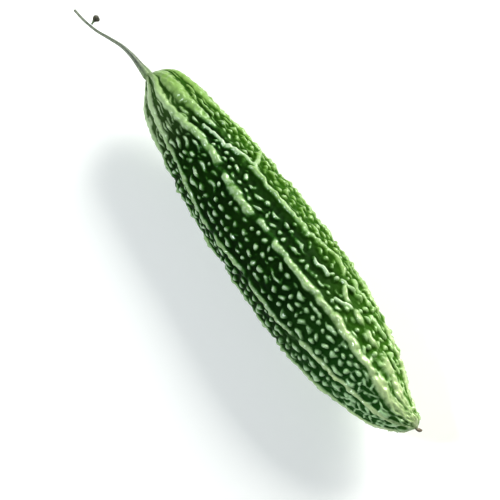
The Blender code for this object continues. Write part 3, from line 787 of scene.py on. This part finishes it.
# The fibres of stalk, bract and scar: their colours where they are fresh, the shares of the fine
# cloud and of the ridges in their shading, how much the broad cloud roughens them, and their depth
FRESH_COLOURS = ((0.060, 0.120, 0.035, 1), (0.300, 0.400, 0.200, 1))
FIBRE_CLOUD_SHARE = 0.4
FIBRE_RIDGE_SHARE = 0.6
FIBRE_ROUGHENING = 0.2
FIBRE_DEPTH = 0.2 * MM
# A ring whose radii differ by less than this has no ridges
LEAST_RIDGE = 1e-6 * MM


def swept(path, radii, across, sides, lobes, depth, twist):
    """Grid of points round a path: rings square to it, whose radius swings by the depth as the
    cosine of the lobes' angle, which turns by the twist along the path."""
    ahead = np.gradient(path, axis=0)
    ahead /= np.linalg.norm(ahead, axis=1, keepdims=True)
    side = np.cross(across, ahead)
    side /= np.linalg.norm(side, axis=1, keepdims=True)
    up = np.cross(ahead, side)
    angle = np.linspace(-math.pi, math.pi, sides, endpoint=False)[None, :]
    turn = twist * np.linspace(0, 1, len(path))[:, None]
    out = radii[:, None] * (1 + depth * np.cos(lobes * angle + turn))
    ring = up[:, None, :] * np.cos(angle)[..., None] + side[:, None, :] * np.sin(angle)[..., None]
    return path[:, None, :] + ring * out[..., None]


def smooth_path(stations, count):
    """Evenly spaced points on a smooth curve through the stations, which are in mm."""
    stations = np.array(stations) * MM
    chords = np.concatenate([[0], np.cumsum(np.linalg.norm(np.diff(stations, axis=0), axis=1))])
    even = np.linspace(0, chords[-1], count)
    return np.stack([smooth(even, chords, stations[:, i]) for i in range(3)], 1)


def on_middle_line(x):
    """The point on the section's middle line at this distance from the neck."""
    aside, height = middle_line(x)
    return np.array([x - SPOT_FROM_NECK, aside - SPOT_ASIDE, height])


def radii_along(stations, count):
    """Radius at evenly spaced places along a path: a smooth curve through (share, radius in mm)."""
    return smooth(np.linspace(0, 1, count), *np.array(stations).T) * MM


def ridges(points, path):
    """How far each point of a swept grid stands out, from 0 at its ring's lowest to 1 at its highest."""
    out = np.linalg.norm(points - path[:, None, :], axis=2)
    low, high = out.min(1, keepdims=True), out.max(1, keepdims=True)
    return (out - low) / np.maximum(high - low, LEAST_RIDGE)


def fibre_tube(name, points, path, fresh):
    """Tube through a swept grid, marked with its ridges and with how fresh each ring is."""
    mesh = closed_tube(name, points)
    mark(mesh, "ridge", ridges(points, path))
    mark(mesh, "fresh", np.repeat(fresh[:, None], points.shape[1], 1))
    return mesh


def fibre_material(name, mottle, colours, roughness):
    """Matt plant fibre between two colours, by shares of a fine cloud and of its ridges, and green
    where the mesh is marked fresh."""
    made, nodes, shader = new_material(name)
    clouds = nodes.add("Group", {"node_tree": mottle}, Broad=160.0, Fine=900.0).outputs
    ridged = nodes.maths("MULTIPLY", nodes.number("ridge"), FIBRE_RIDGE_SHARE)
    share = nodes.maths("MULTIPLY_ADD", clouds["Fine cloud"], FIBRE_CLOUD_SHARE, ridged)
    green = nodes.mix(share, *FRESH_COLOURS)
    colour = nodes.mix(nodes.number("fresh"), nodes.mix(share, *colours), green)
    nodes.fill(shader.inputs["Base Color"], colour)
    smoothest = roughness - FIBRE_ROUGHENING / 2
    rough = nodes.maths("MULTIPLY_ADD", clouds["Broad cloud"], FIBRE_ROUGHENING, smoothest)
    nodes.fill(shader.inputs["Roughness"], rough)
    bump = nodes.add("Bump", Strength=0.5, Distance=FIBRE_DEPTH, Height=clouds["Fine cloud"])
    nodes.fill(shader.inputs["Normal"], bump.outputs[0])
    return made


stalk_path = smooth_path(STALK_PATH, STALK_RINGS) + on_middle_line(0)
stalk_radii = radii_along(STALK_RADII, STALK_RINGS)
stalk_points = swept(
    stalk_path, stalk_radii, (0, 0, 1), STALK_SIDES, STALK_RIBS, STALK_RIB_DEPTH, STALK_TWIST
)
stalk_fresh = 1 - ease(0, STALK_FRESH, np.linspace(0, 1, STALK_RINGS))
stalk_mesh = fibre_tube("gourd_stalk", stalk_points, stalk_path, stalk_fresh)
stalk_finish = fibre_material("stalk_fibre", mottle, STALK_COLOURS, STALK_ROUGHNESS)
add_piece("gourd_stalk", stalk_mesh, stalk_finish, "stalk")


# The bract. A small kidney-shaped leaf on its own short stem, which dried and furled to a
# dark knob while the fruit grew.

# Where it sits, as a share of the stalk's length, and how its stem and knob run from there
BRACT_AT = 0.77
BRACT_PATH = ((-0.1, 0.75, 0.85), (-0.5, 1.9, 1.5), (-1.1, 3.9, 2.3), (-1.5, 5.7, 3.1))
BRACT_RADII = ((0, 0.55), (0.22, 0.5), (0.4, 0.95), (0.62, 1.7), (0.85, 1.5), (1, 0.4))
BRACT_RINGS = 60
BRACT_SIDES = 60
BRACT_FOLDS = 3
BRACT_FOLD_DEPTH = 0.3
# Between these shares of its length the folds of the knob set in, and the green ends a little
# before them
BRACT_KNOB = (0.3, 0.6)
BRACT_TWIST = math.radians(140)
BRACT_FRESH = 0.12
BRACT_COLOURS = ((0.010, 0.012, 0.007, 1), (0.070, 0.065, 0.035, 1))
BRACT_ROUGHNESS = 0.75

bract_path = smooth_path(BRACT_PATH, BRACT_RINGS) + stalk_path[round(BRACT_AT * (STALK_RINGS - 1))]
bract_length = np.linspace(0, 1, BRACT_RINGS)
bract_radii = radii_along(BRACT_RADII, BRACT_RINGS)
bract_depth = BRACT_FOLD_DEPTH * ease(*BRACT_KNOB, bract_length)
bract_points = swept(
    bract_path, bract_radii, (1, 0, 0), BRACT_SIDES, BRACT_FOLDS, bract_depth[:, None], BRACT_TWIST
)
bract_fresh = 1 - ease(*BRACT_KNOB, bract_length + BRACT_FRESH)
bract_mesh = fibre_tube("gourd_bract", bract_points, bract_path, bract_fresh)
bract_finish = fibre_material("bract_dried", mottle, BRACT_COLOURS, BRACT_ROUGHNESS)
add_piece("gourd_bract", bract_mesh, bract_finish, "bract")


# The flower scar. The withered foot of the flower stays on the fruit's tip as a small
# brown curl.

SCAR_PATH = ((0, 0, 0), (0.9, 0.06, 0), (1.9, 0.7, 0.1), (2.7, 1.6, 0.4))
SCAR_RADII = ((0, 0.75), (0.3, 0.65), (0.6, 0.8), (0.85, 0.55), (1, 0.25))
SCAR_RINGS = 40
SCAR_SIDES = 48
SCAR_FOLDS = 4
SCAR_FOLD_DEPTH = 0.18
SCAR_TWIST = math.radians(120)
SCAR_FRESH = 0.3
SCAR_COLOURS = ((0.070, 0.050, 0.030, 1), (0.300, 0.240, 0.160, 1))
SCAR_ROUGHNESS = 0.8

scar_path = smooth_path(SCAR_PATH, SCAR_RINGS) + on_middle_line(FRUIT_LENGTH)
scar_radii = radii_along(SCAR_RADII, SCAR_RINGS)
scar_points = swept(
    scar_path, scar_radii, (0, 0, 1), SCAR_SIDES, SCAR_FOLDS, SCAR_FOLD_DEPTH, SCAR_TWIST
)
scar_fresh = 1 - ease(0, SCAR_FRESH, np.linspace(0, 1, SCAR_RINGS))
scar_mesh = fibre_tube("gourd_flower_scar", scar_points, scar_path, scar_fresh)
scar_finish = fibre_material("scar_dried", mottle, SCAR_COLOURS, SCAR_ROUGHNESS)
add_piece("gourd_flower_scar", scar_mesh, scar_finish, "flower_scar")


# The studio. A pale sheet of card under the fruit, a large soft lamp on its +Y side, a weaker
# one on its -Y side that lights the wart tops, and the camera high above the tip on that side.

CAMERA_AZIMUTH = math.radians(55.7)
CAMERA_ELEVATION = math.radians(65)
CAMERA_DISTANCE = 0.95
FRAME_WIDTH = 256 * MM
AIM = Vector((-16.5, -4.7, 5.1)) * MM
LAMP_AIM_HEIGHT = 30 * MM
FLOOR_HALF = 1500 * MM
CARD_COLOURS = ((0.80, 0.80, 0.78, 1), (0.84, 0.84, 0.83, 1))
SKY_COLOUR = (0.95, 0.98, 1, 1)
SKY_STRENGTH = 0.08


def floor_material():
    """Pale card, mixed from two near whites by a fine noise."""
    made, nodes, shader = new_material("card")
    fleck = nodes.add("TexNoise", Vector=nodes.add("TexCoord").outputs["Object"], Scale=220.0)
    nodes.fill(shader.inputs["Base Color"], nodes.mix(fleck.outputs["Fac"], *CARD_COLOURS))
    shader.inputs["Roughness"].default_value = 0.9
    shader.inputs["Emission Color"].default_value = (1, 1, 1, 1)
    shader.inputs["Emission Strength"].default_value = 0.22
    return made


def soft_lamp(name, toward, distance, width, power, colour):
    """Square lamp at this distance from the fruit's middle height, in this direction, facing it."""
    lamp = bpy.data.lights.new(name, "AREA")
    lamp.size = width
    lamp.energy = power
    lamp.color = colour
    placed = bpy.data.objects.new(name, lamp)
    bpy.context.scene.collection.objects.link(placed)
    direction = Vector(toward).normalized()
    placed.location = Vector((0, 0, LAMP_AIM_HEIGHT)) + direction * distance
    placed.rotation_euler = direction.to_track_quat("Z", "Y").to_euler()


def place_camera():
    """Camera that looks down at the aim point with the frame FRAME_WIDTH wide there. Its own axes
    are worked out from its azimuth, from -Y towards +X, and its elevation."""
    level, rise = math.cos(CAMERA_ELEVATION), math.sin(CAMERA_ELEVATION)
    ahead, aside = math.cos(CAMERA_AZIMUTH), math.sin(CAMERA_AZIMUTH)
    toward = Vector((aside * level, -ahead * level, rise))
    right = Vector((ahead, aside, 0))
    camera = bpy.data.cameras.new("camera")
    camera.lens = camera.sensor_width * CAMERA_DISTANCE / FRAME_WIDTH
    placed = bpy.data.objects.new("camera", camera)
    bpy.context.scene.collection.objects.link(placed)
    turn = Matrix((right, toward.cross(right), toward)).transposed().to_4x4()
    placed.matrix_world = Matrix.Translation(AIM + toward * CAMERA_DISTANCE) @ turn
    bpy.context.scene.camera = placed


floor_corners = FLOOR_HALF * np.array([(-1, -1, 0), (1, -1, 0), (1, 1, 0), (-1, 1, 0)])
floor_mesh = bpy.data.meshes.new("floor")
floor_mesh.from_pydata(floor_corners.tolist(), [], [(0, 1, 2, 3)])
floor_mesh.materials.append(floor_material())
floor = bpy.data.objects.new("floor", floor_mesh)
bpy.context.scene.collection.objects.link(floor)
soft_lamp(
    "key", toward=(-0.11, 0.84, 0.54), distance=0.9, width=0.55, power=14.2, colour=(1.0, 1.0, 0.95)
)
soft_lamp(
    "left", toward=(-0.20, -0.56, 0.80), distance=0.9, width=0.2, power=5.4, colour=(0.88, 0.96, 1.0)
)
world = bpy.data.worlds.new("studio")
world.use_nodes = True
sky = world.node_tree.nodes["Background"].inputs
sky["Color"].default_value = SKY_COLOUR
sky["Strength"].default_value = SKY_STRENGTH
bpy.context.scene.world = world
bpy.context.scene.view_settings.view_transform = "Standard"
place_camera()
